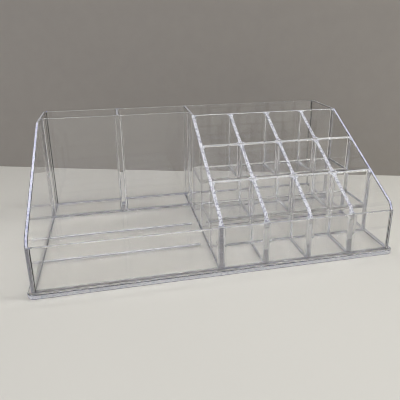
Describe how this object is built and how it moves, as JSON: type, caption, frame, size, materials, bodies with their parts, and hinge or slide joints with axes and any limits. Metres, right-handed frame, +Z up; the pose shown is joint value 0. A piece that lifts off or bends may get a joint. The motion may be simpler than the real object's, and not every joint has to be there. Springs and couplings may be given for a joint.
{
  "type": "vanity organizer",
  "caption": "Clear plastic vanity organizer with an open ribbed tray, stepped lipstick pockets that rise to the back and tall pockets along the rear.",
  "frame": {"origin": "middle of the underside of the base sheet, which is the bottom centre of the bounding box", "axes": "+X to the right as seen from the front, +Y to the back, +Z up; millimetres in the source, metres here"},
  "size_m": [0.229, 0.134, 0.08],
  "materials": {
    "clear_plastic": "polished, crystal clear with a faint cool tint"
  },
  "bodies": {
    "root": {"base_sheet": "clear_plastic", "back_wall": "clear_plastic", "front_wall": "clear_plastic", "left_end_wall": "clear_plastic", "right_end_wall": "clear_plastic", "centre_partition": "clear_plastic", "tray_back_wall": "clear_plastic", "rear_pocket_divider": "clear_plastic", "rear_tray_rib": "clear_plastic", "front_tray_rib": "clear_plastic", "rack_back_wall": "clear_plastic", "upper_step_wall": "clear_plastic", "lower_step_wall": "clear_plastic", "rear_rack_floor": "clear_plastic", "middle_rack_floor": "clear_plastic", "front_row_left_divider": "clear_plastic", "front_row_centre_divider": "clear_plastic", "front_row_right_divider": "clear_plastic", "middle_row_left_divider": "clear_plastic", "middle_row_centre_divider": "clear_plastic", "middle_row_right_divider": "clear_plastic", "rear_row_left_divider": "clear_plastic", "rear_row_centre_divider": "clear_plastic", "rear_row_right_divider": "clear_plastic"}
  },
  "joints": []
}
